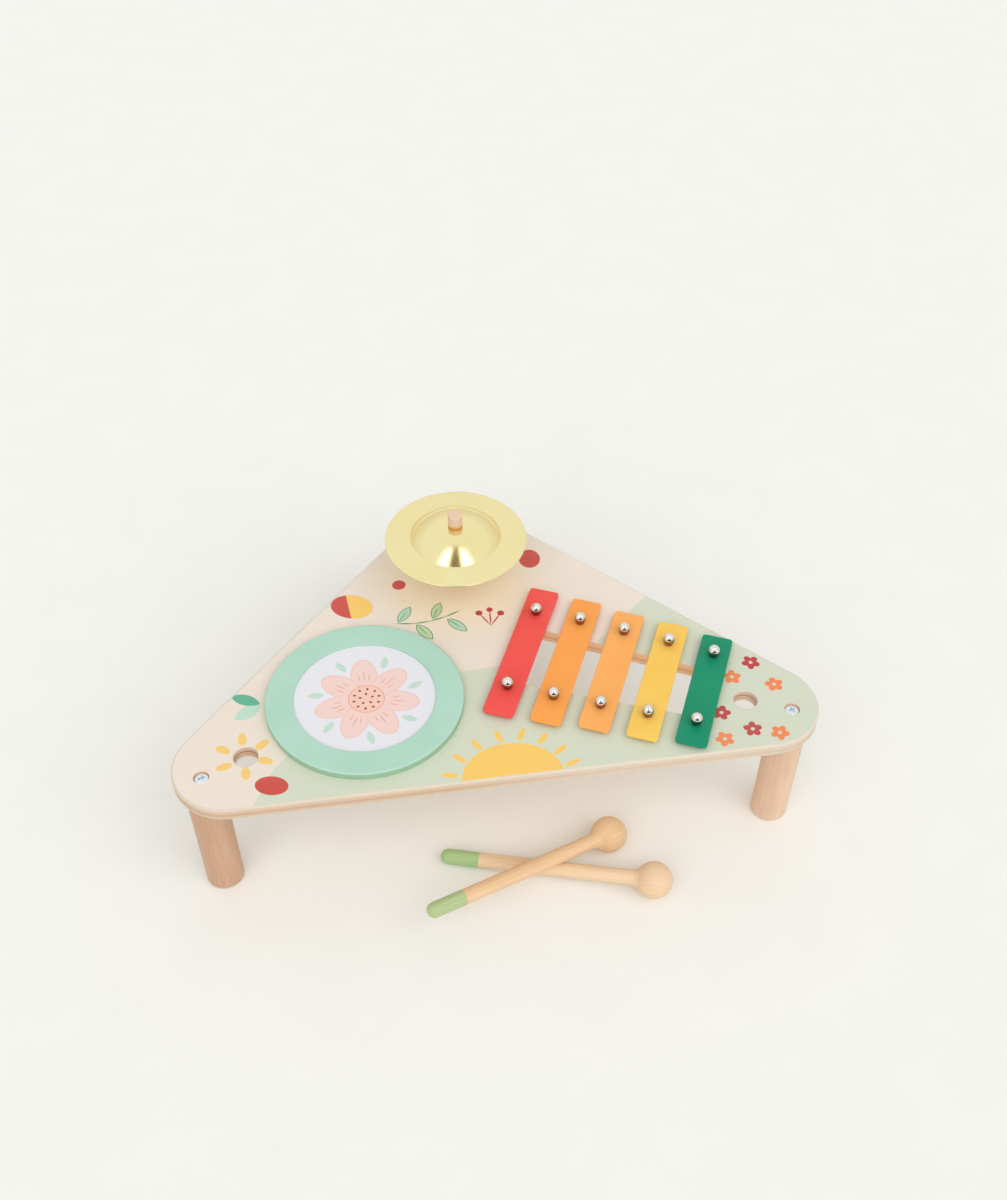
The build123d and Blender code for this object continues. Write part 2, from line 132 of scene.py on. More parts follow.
class Graph:
    """The node tree of one material."""

    def __init__(self, name):
        self.material = bpy.data.materials.new(name)
        self.material.use_nodes = True
        self.tree = self.material.node_tree
        self.shader = self.tree.nodes["Principled BSDF"]

    def node(self, kind, **settings):
        made = self.tree.nodes.new("ShaderNode" + kind)
        for name, value in settings.items():
            setattr(made, name, value)
        return made

    def feed(self, socket, value):
        """Links a varying value to a socket, or sets a constant there."""
        if isinstance(value, Num):
            self.tree.links.new(value.socket, socket)
        elif isinstance(value, bpy.types.NodeSocket):
            self.tree.links.new(value, socket)
        else:
            socket.default_value = value

    def math(self, operation, *values):
        made = self.node("Math", operation=operation)
        for socket, value in zip(made.inputs, values):
            self.feed(socket, value)
        return Num(self, made.outputs[0])

    def place(self, origin=(0, 0, 0), turn=(0, 0, 0)):
        """Where a point lies in millimetres from an origin, along turned axes."""
        coordinates = self.node("TexCoord").outputs["Object"]
        mapping = self.node("Mapping", vector_type="TEXTURE")
        mapping.inputs["Location"].default_value = [value * MM for value in origin]
        mapping.inputs["Rotation"].default_value = turn
        mapping.inputs["Scale"].default_value = (MM, MM, MM)
        self.feed(mapping.inputs["Vector"], coordinates)
        return mapping.outputs["Vector"]

    def vector_math(self, operation, output, *values):
        made = self.node("VectorMath", operation=operation)
        for socket, value in zip(made.inputs, values):
            self.feed(socket, value)
        return made.outputs[output]

    def stretch(self, vector, share):
        """The same place with each axis multiplied, so that a pattern stretches."""
        return self.vector_math("MULTIPLY", "Vector", vector, share)

    def shift(self, vector, amount):
        return self.vector_math("ADD", "Vector", vector, amount)

    def axes(self, vector):
        split = self.node("SeparateXYZ")
        self.feed(split.inputs[0], vector)
        return [Num(self, split.outputs[axis]) for axis in "XYZ"]

    def vector(self, *axes):
        made = self.node("CombineXYZ")
        for socket, value in zip(made.inputs, axes):
            self.feed(socket, value)
        return made.outputs[0]

    def dot(self, vector, axis):
        return Num(self, self.vector_math("DOT_PRODUCT", "Value", vector, axis))

    def length(self, vector):
        return Num(self, self.vector_math("LENGTH", "Value", vector))

    def noise(self, vector, scale, detail=2.0, roughness=0.5, distortion=0.0):
        made = self.node("TexNoise")
        self.feed(made.inputs["Vector"], vector)
        made.inputs["Scale"].default_value = scale
        made.inputs["Detail"].default_value = detail
        made.inputs["Roughness"].default_value = roughness
        made.inputs["Distortion"].default_value = distortion
        return Num(self, made.outputs[0])

    def rings(self, vector, spacing, distortion):
        """Growth rings round X, as 0 to 1 across each ring."""
        made = self.node("TexWave", wave_type="RINGS", rings_direction="X", wave_profile="SAW")
        self.feed(made.inputs["Vector"], vector)
        made.inputs["Scale"].default_value = math.pi / 10 / spacing
        made.inputs["Distortion"].default_value = distortion
        made.inputs["Detail"].default_value = 1.0
        made.inputs["Detail Scale"].default_value = 0.4
        return Num(self, made.outputs["Fac"])

    def mix(self, share, first, second):
        made = self.node("Mix", data_type="RGBA")
        self.feed(made.inputs["Factor"], share)
        self.feed(made.inputs[6], first)        # 6, 7 and 2 are the colour sockets
        self.feed(made.inputs[7], second)
        return made.outputs[2]

    def bump(self, height, depth):
        """A normal from a height of 0 to 1 that stands for so many millimetres."""
        made = self.node("Bump")
        made.inputs["Strength"].default_value = 1.0
        made.inputs["Distance"].default_value = depth * MM
        self.feed(made.inputs["Height"], height)
        return made.outputs["Normal"]

    def finish(self, colour, roughness, normal=None, **constants):
        """Colour and roughness may vary. The rest are constants on the shader's own sockets."""
        self.feed(self.shader.inputs["Base Color"], colour)
        self.feed(self.shader.inputs["Roughness"], roughness)
        if normal is not None:
            self.feed(self.shader.inputs["Normal"], normal)
        for name, value in constants.items():
            self.shader.inputs[name.replace("_", " ")].default_value = value
        return self.material


# ======== wood
TONES = {                       # pale and dark tone of each wood
    "leg_front_left": (srgb(214, 179, 150), srgb(190, 143, 112)),
    "leg_front_right": (srgb(237, 208, 182), srgb(212, 171, 141)),
    "leg_back": (srgb(234, 203, 176), srgb(205, 160, 128)),
    "turned": (srgb(234, 203, 176), srgb(205, 160, 128)),
    "cap": (srgb(241, 214, 188), srgb(228, 192, 160)),
    "mallet_upper": (srgb(242, 208, 168), srgb(222, 178, 132)),
    "mallet_lower": (srgb(242, 214, 178), srgb(226, 190, 150)),
    "veneer": (srgb(241, 224, 202), srgb(228, 204, 176)),
    "hoop": (srgb(222, 192, 150), srgb(190, 152, 108)),
}


def wood_tone(graph, along, tones, spacing, pith, lines=0.34):
    """Colour and height of straight-grained wood. The place's x runs along the grain.

    Rings lie spacing apart round the pith. lines is how strongly rings and fibres show."""
    pale, dark = tones
    bend = graph.noise(graph.stretch(along, (0.006, 0.03, 0.03)), 1.0, 2.0)
    bent = graph.shift(along, graph.vector(0.0, bend * 9.0, bend * 5.0))
    ring = graph.rings(graph.shift(bent, pith), spacing, 0.5)
    fibre = graph.noise(graph.stretch(along, (0.05, 2.6, 2.6)), 1.0, 4.0, 0.62)
    cloud = graph.noise(graph.stretch(along, (0.02, 0.09, 0.09)), 1.0, 3.0)
    fleck = graph.noise(graph.stretch(along, (0.35, 2.2, 2.2)), 1.0, 1.0).ramp(0.66, 0.74)
    share = ring * lines + fibre.ramp(0.3, 0.7) * lines + cloud.ramp(0.3, 0.7) * 0.4 + (0.3 - lines)
    colour = graph.mix(share, pale, dark)
    colour = graph.mix(fleck * 0.35, colour, [value * 0.72 for value in dark[:3]] + [1.0])
    height = fibre * 0.6 + ring * 0.25 - fleck * 0.3
    return colour, height


def wood_material(name, tones, origin=(0, 0, 0), turn=(0, 0, 0), spacing=2.6, pith=(0, 38, 21)):
    """Bare lacquered wood whose grain runs along the turned X axis."""
    graph = Graph(name)
    along = graph.place(origin, turn)
    colour, height = wood_tone(graph, along, TONES[tones], spacing, pith, 0.2)
    return graph.finish(
        colour, height * 0.12 + 0.46, graph.bump(height, 0.05), Specular_IOR_Level=0.35
    )


UPRIGHT = (0, math.radians(-90), 0)     # turns X up, for grain that stands


# ======== prints
class Print:
    """Inks laid one over another on a level face."""

    EDGE = 0.14                 # softness of an ink's edge

    def __init__(self, graph, ground):
        self.graph = graph
        self.colour = ground
        self.point = graph.shift(graph.place(), (0, 0, 0))      # one node that all shapes read

    def lay(self, share, ink):
        self.colour = self.graph.mix(share, self.colour, ink)

    def local(self, centre, degrees, units=(1, 1)):
        """How far a point lies along and across a turned axis from a centre, in given units."""
        turn = math.radians(degrees)
        cos, sin = math.cos(turn), math.sin(turn)
        found = []
        for x, y, unit in ((cos, sin, units[0]), (-sin, cos, units[1])):
            start = (x * centre[0] + y * centre[1]) / unit
            found.append(self.graph.dot(self.point, (x / unit, y / unit, 0)) - start)
        return found

    def oval(self, centre, half_length, half_width, degrees, ink):
        along, across = self.local(centre, degrees, (half_length, half_width))
        edge = 2 * self.EDGE / min(half_length, half_width)
        inside = (along * along + across * across).ramp(1 + edge, 1 - edge)
        self.lay(inside, ink)
        return inside

    def disc(self, centre, radius, ink):
        self.oval(centre, radius, radius, 0, ink)

    def halved(self, centre, half_length, half_width, degrees, left_ink, right_ink):
        """An oval in two inks. The line between them lies left of its middle, a little aslant."""
        inside = self.oval(centre, half_length, half_width, degrees, left_ink)
        past, _ = self.local((centre[0] - 2.2, centre[1]), 5)
        self.lay(inside * past.ramp(-self.EDGE, self.EDGE), right_ink)

    def leaf(self, centre, length, width, degrees, ink):
        """The shape that two equal circles share: pointed at both ends."""
        radius = (length ** 2 + width ** 2) / (4 * width)
        along, across = self.local(centre, degrees)
        beyond = self.graph.math("ABSOLUTE", across) + (radius - width / 2)
        square = along * along + beyond * beyond
        self.lay(square.ramp((radius + self.EDGE) ** 2, (radius - self.EDGE) ** 2), ink)

    def stroke(self, start, end, width, ink):
        """A brush stroke that thins to both ends."""
        run = Vector(end) - Vector(start)
        centre = (Vector(start) + Vector(end)) / 2
        self.leaf(centre, run.length, width, math.degrees(math.atan2(run.y, run.x)), ink)

    def flower(self, centre, petals, reach, petal, ink, heart, heart_ink, turn):
        """Equal ovals round a dot. petal is an oval's half length and half width."""
        for i in range(petals):
            degrees = turn + 360 * i / petals
            self.oval(Vector(centre) + heading(degrees) * reach, *petal, degrees, ink)
        self.disc(centre, heart, heart_ink)


INK = {
    "cream": srgb(238, 226, 212),
    "painted_cymbal_glow": srgb(252, 236, 208),
    "mint": srgb(213, 220, 198),
    "sun": srgb(251, 205, 103),
    "petal": srgb(248, 206, 118),
    "red": srgb(207, 73, 66),
    "dark_red": srgb(194, 58, 62),
    "orange": srgb(246, 136, 82),
    "leaf": srgb(80, 178, 148),
    "pale_leaf": srgb(190, 224, 206),
    "outline": srgb(92, 158, 112),
    "mint_leaf": srgb(182, 220, 196),
    "green_leaf": srgb(192, 218, 172),
}
SUN_CENTRE = (2.1, BOARD_FRONT)
SUN_HALF_WIDTH, SUN_HEIGHT = 32.3, 27.2


def mint_field(graph, point):
    """Share of the mint ink. It lies right of the drum's foot and in front of a bent line."""
    x, y, _ = graph.axes(point)
    level = x * 0.06 - 13.4
    climb = x * 0.9 - 69.2
    below = (level.most(climb) - y).ramp(-Print.EDGE, Print.EDGE)
    steep = x + 105.0 - y * 0.515
    shallow = x + 74.0 - y * 0.905
    right = steep.least(shallow).ramp(-Print.EDGE, Print.EDGE)
    return below * right


def lay_sun(design):
    """Half a sun that rises from the front edge, with eight short rays."""
    design.oval(SUN_CENTRE, SUN_HALF_WIDTH, SUN_HEIGHT, 0, INK["sun"])
    rays = (
        ((-37.2, -100.3), -16), ((-29.4, -87.7), -44), ((-17.2, -78.2), -60), ((-2.2, -73.4), -74),
        ((12.6, -74.0), 66), ((25.4, -79.6), 50), ((35.0, -90.0), 34), ((40.9, -101.6), 22),
    )
    half_length, half_width = 5.4, 2.0
    for centre, degrees in rays:
        design.oval(centre, half_length, half_width, degrees, INK["sun"])


def lay_petals(design):
    """Six petals round the left mallet hole, spaced as by hand."""
    petals = (
        ((-164.9, -51.7), 90), ((-152.4, -58.0), 39), ((-150.9, -71.4), -22),
        ((-163.3, -80.0), -88), ((-176.6, -72.6), 13), ((-177.2, -58.7), -32),
    )
    half_length, half_width = 5.2, 2.9
    for centre, degrees in petals:
        design.oval(centre, half_length, half_width, degrees, INK["petal"])


def lay_blossoms(design):
    """Five-petalled blossoms scattered in a loose ring round the right mallet hole."""
    blossoms = (
        ((159.5, -45.5), "orange", 8),
        ((175.5, -34.5), "dark_red", 40),
        ((185.5, -56.0), "orange", 20),
        ((144.5, -75.0), "dark_red", 64),
        ((141.0, -97.0), "orange", 33),
        ((161.0, -91.5), "dark_red", 12),
        ((177.5, -97.0), "orange", 50),
    )
    petals, reach, petal, heart = 5, 3.5, (2.75, 2.25), 1.35
    for centre, ink, turn in blossoms:
        design.flower(centre, petals, reach, petal, INK[ink], heart, INK["mint"], turn)


def veined_leaf(design, centre, length, width, degrees, fill):
    """A leaf with its outline and a middle vein."""
    design.leaf(centre, length, width, degrees, INK["outline"])
    design.leaf(centre, length - 1.9, width - 1.3, degrees, fill)
    out = heading(degrees) * length
    design.stroke(Vector(centre) - out * 0.46, Vector(centre) + out * 0.2, 0.75, INK["outline"])


def lay_twig(design):
    """A level twig with leaves on both sides, in front of the cymbal."""
    stem = ((-56.5, 37.0), (-45.0, 35.2), (-33.5, 36.0), (-22.5, 38.8), (-12.5, 43.0))
    for start, end in zip(stem, stem[1:]):
        reach = (Vector(end) - Vector(start)).normalized() * 1.2
        design.stroke(Vector(start) - reach, Vector(end) + reach, 1.3, INK["outline"])
    leaves = (
        ((-50.6, 45.0), 17.5, 7.6, 54, "mint_leaf"),
        ((-38.6, 26.3), 18.5, 8.2, -58, "green_leaf"),
        ((-28.0, 45.6), 17.0, 7.4, 66, "green_leaf"),
        ((-15.6, 29.6), 18.5, 8.0, -49, "mint_leaf"),
    )
    for centre, length, width, turn, fill in leaves:
        veined_leaf(design, centre, length, width, turn, INK[fill])


def lay_leaves(design):
    """A pair of plain leaves beside the drum."""
    design.leaf((-160.8, -29.4), 19.8, 10.4, 30, INK["pale_leaf"])
    design.leaf((-162.0, -18.4), 21.2, 8.8, -27, INK["leaf"])


def lay_berries(design):
    """Plain ovals and dots in red, one oval in two halves, and a small bunch on stalks."""
    design.oval((-147.7, -92.0), 10.6, 7.3, -17, INK["red"])
    design.halved((-86.2, 58.1), 15.0, 11.3, -24, INK["red"], INK["sun"])
    design.disc((-51.4, 75.0), 4.8, INK["red"])
    design.oval((44.8, 88.5), 9.6, 7.7, 83, INK["red"])
    foot = Vector((7.5, 25.5))
    for x, y, radius in ((-6.6, 13.4, 2.5), (1.2, 15.6, 2.2), (8.4, 11.2, 2.5)):
        berry = foot + Vector((x, y))
        design.stroke(foot, berry, 1.1, INK["dark_red"])
        design.disc(berry, radius, INK["dark_red"])


HOLE_TINT = 9.2                 # radii of the tones at the mallet holes (glue lines with painted shade and light), the leg screws (painted light) and the slot (wood)
RECESS_TINT = 5.5
SLOT_TINT = 60.0
RECESS_DEPTH = 6.0
INK_ENDS = (0.03, 0.01)         # below the top, between which the print fades out on the rim
PLY_BANDS = (                   # height share where each band's colour is reached
    (0.10, srgb(216, 204, 189)), (0.19, srgb(217, 197, 173)), (0.27, srgb(210, 184, 156)),
    (0.34, srgb(214, 184, 155)), (0.40, srgb(200, 168, 138)), (0.48, srgb(204, 170, 141)),
    (0.55, srgb(215, 183, 156)), (0.66, srgb(216, 188, 161)), (0.73, srgb(216, 193, 169)),
    (0.81, srgb(218, 198, 175)), (0.88, srgb(221, 205, 185)), (0.96, srgb(221, 209, 190)),
)
GLUE_LINES_AND_PAINTED_LIGHT = (                  # in the mallet holes: glue lines drawn stronger there as painted shade, and pale bands near the foot as painted light: height share, strength and colour
    (0.05, 0.5, srgb(250, 238, 222)), (0.17, 0.5, srgb(250, 236, 218)),
    (0.28, 0.45, srgb(176, 134, 104)), (0.42, 0.6, srgb(238, 202, 170)),
    (0.57, 0.85, srgb(162, 106, 78)), (0.76, 0.3, srgb(190, 138, 104)),
)


def near(graph, point, spots, radius):
    """Share of the places within a radius of any of the spots, seen from above."""
    x, y, _ = graph.axes(point)
    found = 0.0
    for spot in spots:
        right, back = x - spot.x, y - spot.y
        found = (right * right + back * back).ramp((radius + 0.1) ** 2, (radius - 0.1) ** 2) + found
    return found


def ply_colour(graph, point):
    """The board's cut edge: bands by height that waver a little, crossed by fine fibres."""
    z = graph.axes(point)[2]
    waver = graph.noise(graph.stretch(point, (0.02, 0.02, 0.1)), 1.0, 2.0) * 0.05
    share = (z - BOARD_BOTTOM) * (1 / (BOARD_TOP - BOARD_BOTTOM)) + waver - 0.025
    bands = graph.node("ValToRGB")
    graph.feed(bands.inputs["Fac"], share)
    stops = bands.color_ramp.elements
    while len(stops) < len(PLY_BANDS):
        stops.new(1.0)
    for stop, (position, colour) in zip(stops, PLY_BANDS):
        stop.position = position
        stop.color = colour
    fibre = graph.noise(graph.stretch(point, (0.12, 0.12, 3.0)), 1.0, 4.0, 0.6)
    pores = graph.noise(graph.stretch(point, (1.3, 1.3, 3.6)), 1.0, 2.0, 0.6)
    colour = graph.mix(fibre.ramp(0.45, 0.75) * 0.18, bands.outputs["Color"], srgb(206, 164, 126))
    colour = graph.mix(pores.ramp(0.55, 0.75) * 0.12, colour, srgb(190, 146, 108))
    # Painted light: the cut edge grows paler towards the right, where more light falls.
    colour = graph.mix(graph.axes(point)[0].ramp(-40.0, 50.0) * 0.4, colour, srgb(228, 217, 202))
    slot = near(graph, point, [(middle("bar_red") + middle("bar_green")) / 2], SLOT_TINT)
    core = graph.math("ABSOLUTE", share - 0.4).ramp(0.15, 0.03)
    warm = graph.mix(core, srgb(252, 192, 134), srgb(222, 162, 108))
    colour = graph.mix(slot * share.ramp(1.0, 0.84) * share.ramp(-0.06, 0.24) * 0.64, colour, warm)
    # Painted shade and light in the mallet holes: the glue lines are strengthened there, and pale
    # bands lie near the foot.
    bored = near(graph, point, (LEFT_HOLE, RIGHT_HOLE), HOLE_TINT)
    for line, strength, tone in GLUE_LINES_AND_PAINTED_LIGHT:
        glue_and_painted_shade = graph.math("ABSOLUTE", share - line).ramp(0.075, 0.03)
        colour = graph.mix(glue_and_painted_shade * bored * strength, colour, tone)
    return colour, fibre * 0.5 + pores * 0.5


def board_material():
    """Printed face, bare rounded rims, ply edges and a veneer underside."""
    graph = Graph("printed_ply")
    point = graph.place()
    mint = mint_field(graph, point)
    # Painted light: a warm glow on the board round the cymbal, standing in for light bounced from
    # the brass.
    from_cymbal = graph.length(graph.stretch(graph.place(middle("cymbal")), (1, 1, 0)))
    cream = graph.mix(from_cymbal.ramp(66.0, 30.0), INK["cream"], INK["painted_cymbal_glow"])
    design = Print(graph, graph.mix(mint, cream, INK["mint"]))
    for lay in (lay_sun, lay_petals, lay_blossoms, lay_twig, lay_leaves, lay_berries):
        lay(design)
    cloud = graph.noise(graph.stretch(point, (0.012, 0.02, 0.02)), 1.0, 3.0)
    grain = graph.noise(graph.stretch(point, (0.03, 0.8, 0.8)), 1.0, 4.0, 0.6)
    toned = graph.mix(cloud.ramp(0.35, 0.75) * 0.10, design.colour, srgb(226, 200, 170))
    toned = graph.mix(grain.ramp(0.5, 0.8) * 0.07, toned, srgb(214, 180, 144))
    edge, pores = ply_colour(graph, point)
    veneer, figure = wood_tone(graph, graph.place((0, 0, -300)), TONES["veneer"], 9.0, (0, 0, 0))
    z = graph.axes(point)[2]
    printed = z.ramp(BOARD_TOP - INK_ENDS[0], BOARD_TOP - INK_ENDS[1])
    under = z.ramp(BOARD_BOTTOM + 0.5, BOARD_BOTTOM + 0.2)
    bare = graph.mix(under, edge, veneer)
    # Painted light: the walls of the leg-screw counterbores are paler, to offset the shade inside
    # them.
    recess = near(graph, point, [middle(leg) for leg in LEGS], RECESS_TINT)
    recess = recess * z.ramp(BOARD_TOP - RECESS_DEPTH, BOARD_TOP - RECESS_DEPTH + 0.2)
    bare = graph.mix(recess, bare, srgb(238, 204, 172))
    colour = graph.mix(printed, bare, toned)
    height = grain * 0.3 + pores * 0.5 + figure * 0.2
    rough = 0.62 - printed * 0.17 + grain * 0.06
    return graph.finish(colour, rough, graph.bump(height, 0.025), Specular_IOR_Level=0.32)


# ======== paints, film, metals, felt
def paint_material(name, colour, deep, roughness=0.38, speckle=0.5, shade=None, shade_top=0.0):
    """Satin enamel: slight clouding, fine specks and a faint orange-peel surface.

    A shade is painted shade on upright faces, below the given height: darker where less light
    falls."""
    graph = Graph(name)
    point = graph.place()
    cloud = graph.noise(graph.stretch(point, (0.03, 0.03, 0.03)), 1.0, 3.0)
    grit = graph.noise(point, 1.6, 2.0, 0.6)
    toned = graph.mix(cloud.ramp(0.3, 0.7) * 0.55, colour, deep)
    toned = graph.mix(grit.ramp(0.55, 0.8) * speckle * 0.4, toned, deep)
    if shade:
        # Painted shade: upright faces below the top are darker.
        toned = graph.mix(graph.axes(point)[2].ramp(shade_top - 0.5, shade_top - 0.9), toned, shade)
    peel = graph.noise(point, 0.55, 1.0)
    normal = graph.bump(peel * 0.7 + grit * 0.3, 0.035)
    return graph.finish(toned, grit * 0.1 + roughness - 0.05, normal, Specular_IOR_Level=0.28)


SKIN_INK = {
    "ground": srgb(232, 232, 237),
    "peach": srgb(243, 211, 202),
    "peach_edge": srgb(240, 198, 187),
    "heart": srgb(249, 200, 184),
    "line": srgb(238, 160, 145),
    "seed": srgb(110, 72, 62),
    "leaf": srgb(196, 221, 205),
}


def skin_material():
    """Stretched film with a printed rosette: seven petals, their veins, and a ring of seeds."""
    graph = Graph("drum_film")
    design = Print(graph, SKIN_INK["ground"])
    centre = DRUM + Vector((1.0, -1.5))
    petals = 7
    for i in range(petals):
        degrees = 90 + 360 * (i + 0.5) / petals
        design.leaf(centre + heading(degrees) * 33.5, 11.0, 5.0, degrees + 12, SKIN_INK["leaf"])
    for i in range(petals):
        degrees = 90 + 360 * i / petals
        out = heading(degrees)
        design.oval(centre + out * 19.5, 15.5, 9.0, degrees, SKIN_INK["peach_edge"])
        design.oval(centre + out * 19.3, 14.8, 8.3, degrees, SKIN_INK["peach"])
    for i in range(petals):
        for spread, reach in ((-10, 22.0), (0, 26.0), (10, 22.0)):
            out = heading(90 + 360 * i / petals + spread)
            design.stroke(centre + out * 15.5, centre + out * reach, 0.7, SKIN_INK["line"])
    design.disc(centre, 12.0, SKIN_INK["line"])
    design.disc(centre, 11.4, SKIN_INK["heart"])
    for count, radius in ((10, 8.4), (5, 4.2)):
        for i in range(count):
            degrees = 360 * (i + 0.25) / count
            design.oval(centre + heading(degrees) * radius, 1.05, 0.75, degrees, SKIN_INK["seed"])
    point = graph.place()
    tooth = graph.noise(point, 1.1, 3.0, 0.6)
    cloud = graph.noise(point, 0.03, 2.0)
    colour = graph.mix(cloud.ramp(0.4, 0.8) * 0.05, design.colour, srgb(222, 214, 226))
    return graph.finish(
        colour, tooth * 0.1 + 0.36, graph.bump(tooth, 0.012), Specular_IOR_Level=0.42
    )


def chrome_material():
    """Bright domes. Below the dome the colour turns to a dark bronze-red, a painted shade."""
    graph = Graph("bright_pin")
    point = graph.place()
    scuff = graph.noise(point, 0.9, 3.0, 0.6)
    dome = graph.mix(scuff.ramp(0.4, 0.8) * 0.5, (0.82, 0.82, 0.83, 1), (0.72, 0.72, 0.74, 1))
    # Painted shade: the body below the dome is dark, so that it mirrors the bar as though in
    # shadow.
    body = graph.mix(scuff.ramp(0.4, 0.6), (0.42, 0.23, 0.21, 1), (0.17, 0.09, 0.085, 1))
    equator = box_mm("pins_red")[1].z - PIN_HEAD_RADIUS
    colour = graph.mix(graph.axes(point)[2].ramp(equator + 0.8, equator + 0.1), dome, body)
    return graph.finish(colour, scuff * 0.05 + 0.035, graph.bump(scuff, 0.004), Metallic=1.0)


def zinc_material():
    graph = Graph("zinc")
    point = graph.place()
    bloom = graph.noise(point, 0.8, 3.0, 0.6)
    colour = graph.mix(bloom.ramp(0.3, 0.7), srgb(240, 247, 253), srgb(218, 231, 244))
    return graph.finish(colour, bloom * 0.16 + 0.24, graph.bump(bloom, 0.006), Metallic=1.0)


def plain_brass_material():
    graph = Graph("insert_brass")
    _, _, z = graph.axes(graph.place())
    turned_lines = graph.noise(graph.vector(0.0, 0.0, z * 6.0), 1.0, 2.0)
    colour = graph.mix(turned_lines, srgb(214, 178, 104), srgb(188, 148, 78))
    return graph.finish(colour, 0.32, graph.bump(turned_lines, 0.02), Metallic=1.0)


def cymbal_material():
    """Lacquered brass with faint spun rings and a fine sandy grain."""
    graph = Graph("cymbal_brass")
    centre = middle("cymbal")
    point = graph.place(centre)
    level = graph.stretch(point, (1, 1, 0))
    radius = graph.length(level)
    rings = graph.noise(graph.vector(radius * 2.2, 0.0, 0.0), 1.0, 3.0, 0.7)
    sand = graph.noise(point, 1.0, 2.0, 0.7)
    cloud = graph.noise(point, 0.03, 2.0)
    colour = graph.mix(cloud.ramp(0.3, 0.7), srgb(250, 238, 186), srgb(247, 233, 174))
    colour = graph.mix(sand.ramp(0.62, 0.78) * 0.12, colour, srgb(206, 176, 96))
    normal = graph.bump(rings * 0.1 + sand * 0.9, 0.06)
    return graph.finish(colour, sand * 0.08 + 0.1, normal, Metallic=1.0)


def felt_material(name, pale, dark):
    graph = Graph(name)
    point = graph.place()
    fluff = graph.noise(point, 2.2, 4.0, 0.7, 0.6)
    clump = graph.noise(point, 0.6, 2.0)
    colour = graph.mix(fluff.ramp(0.3, 0.7) * 0.6 + clump * 0.3, pale, dark)
    return graph.finish(
        colour, 0.95, graph.bump(fluff, 0.15), Sheen_Weight=0.4, Specular_IOR_Level=0.1
    )


# ======== meshes
def make_piece(name, vertices, faces, body, material, slot, node, sharp=35):
    """A smooth-shaded mesh from millimetres, on its body and in place of a CAD node."""
    piece = mesh_object(name, vertices, faces, MM)
    piece.data.validate()
    piece.data.shade_smooth()
    piece.data.set_sharp_from_angle(angle=math.radians(sharp))
    piece.data.materials.append(material)
    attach(piece, body)
    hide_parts(node)


def arc(centre, radius, start, end, steps):
    """Points along an arc, with its angles in degrees."""
    angles = [math.radians(start + (end - start) * i / steps) for i in range(steps + 1)]
    return [(centre[0] + radius * math.cos(a), centre[1] + radius * math.sin(a)) for a in angles]


def lathe(outline, steps, closed, place=Matrix.Identity(4), ripple=None):
    """Vertices and faces turned about Z from (radius, height) points.

    An open outline starts and ends on the axis."""
    vertices, faces, rows = [], [], []
    for radius, height in outline:
        if radius < 1e-6:
            rows.append([len(vertices)] * steps)
            vertices.append(place @ Vector((0, 0, height)))
            continue
        rows.append(range(len(vertices), len(vertices) + steps))
        for i in range(steps):
            angle = math.tau * i / steps
            r, z = ripple(radius, height, angle) if ripple else (radius, height)
            vertices.append(place @ Vector((r * math.cos(angle), r * math.sin(angle), z)))
    pairs = list(zip(rows, rows[1:]))
    if closed:
        pairs.append((rows[-1], rows[0]))
    for low, high in pairs:
        for i in range(steps):
            j = (i + 1) % steps
            corners = [low[i], low[j], high[j], high[i]]
            faces.append(list(dict.fromkeys(corners)))
    return vertices, [face for face in faces if len(face) > 2]


def upright_at(spot):
    """The place of a piece that is turned about a vertical axis through a spot."""
    return Matrix.Translation((spot.x, spot.y, 0))


def two_spots(node, radius):
    """The axes of two round pieces at opposite corners of their node's box, at its foot and top."""
    low, high = box_mm(node)
    inset = Vector((radius, radius, 0))
    return low + inset, high - inset


def joined(*shapes):
    """Several (vertices, faces) pairs as one."""
    vertices, faces = [], []
    for more_vertices, more_faces in shapes:
        start = len(vertices)
        vertices += more_vertices
        faces += [[start + i for i in face] for face in more_faces]
    return vertices, faces


# ---- cymbal ----
CYMBAL_SHEET = 0.8
CYMBAL_HOLE = 3.0
CROWN_RADIUS = 7.0
BELL_RADIUS = 31.5
FLANGE_DROP = 1.3
BELL_BLEND = 0.3                # how far the bend at the bell's foot reaches each way


def cymbal_top_line():
    """The upper face from the hole to the rim, as (radius, height)."""
    low, high = box_mm("cymbal")
    rim = (high.x - low.x) / 2
    top, edge = high.z, low.z + CYMBAL_SHEET
    foot = edge + FLANGE_DROP
    run, rise = BELL_RADIUS - CROWN_RADIUS, top - foot
    bow = (run ** 2 + rise ** 2) / (2 * rise)
    steepest = math.degrees(math.asin(run / bow))
    bell = arc((CROWN_RADIUS, top - bow), bow, 90, 90 - steepest, 40)
    corner = Vector((BELL_RADIUS, foot))
    before = corner - heading(-steepest) * BELL_BLEND
    after = corner + (Vector((rim, edge)) - corner).normalized() * BELL_BLEND
    bend = [
        before * (1 - t) ** 2 + corner * 2 * t * (1 - t) + after * t ** 2
        for t in (i / 10 for i in range(11))
    ]
    kept = [point for point in bell if point[0] < before.x - 0.2]
    flange = [after.lerp(Vector((rim - CYMBAL_SHEET / 2, edge + 0.03)), i / 8) for i in range(1, 9)]
    return [(CYMBAL_HOLE, top)] + kept + [tuple(point) for point in bend + flange]


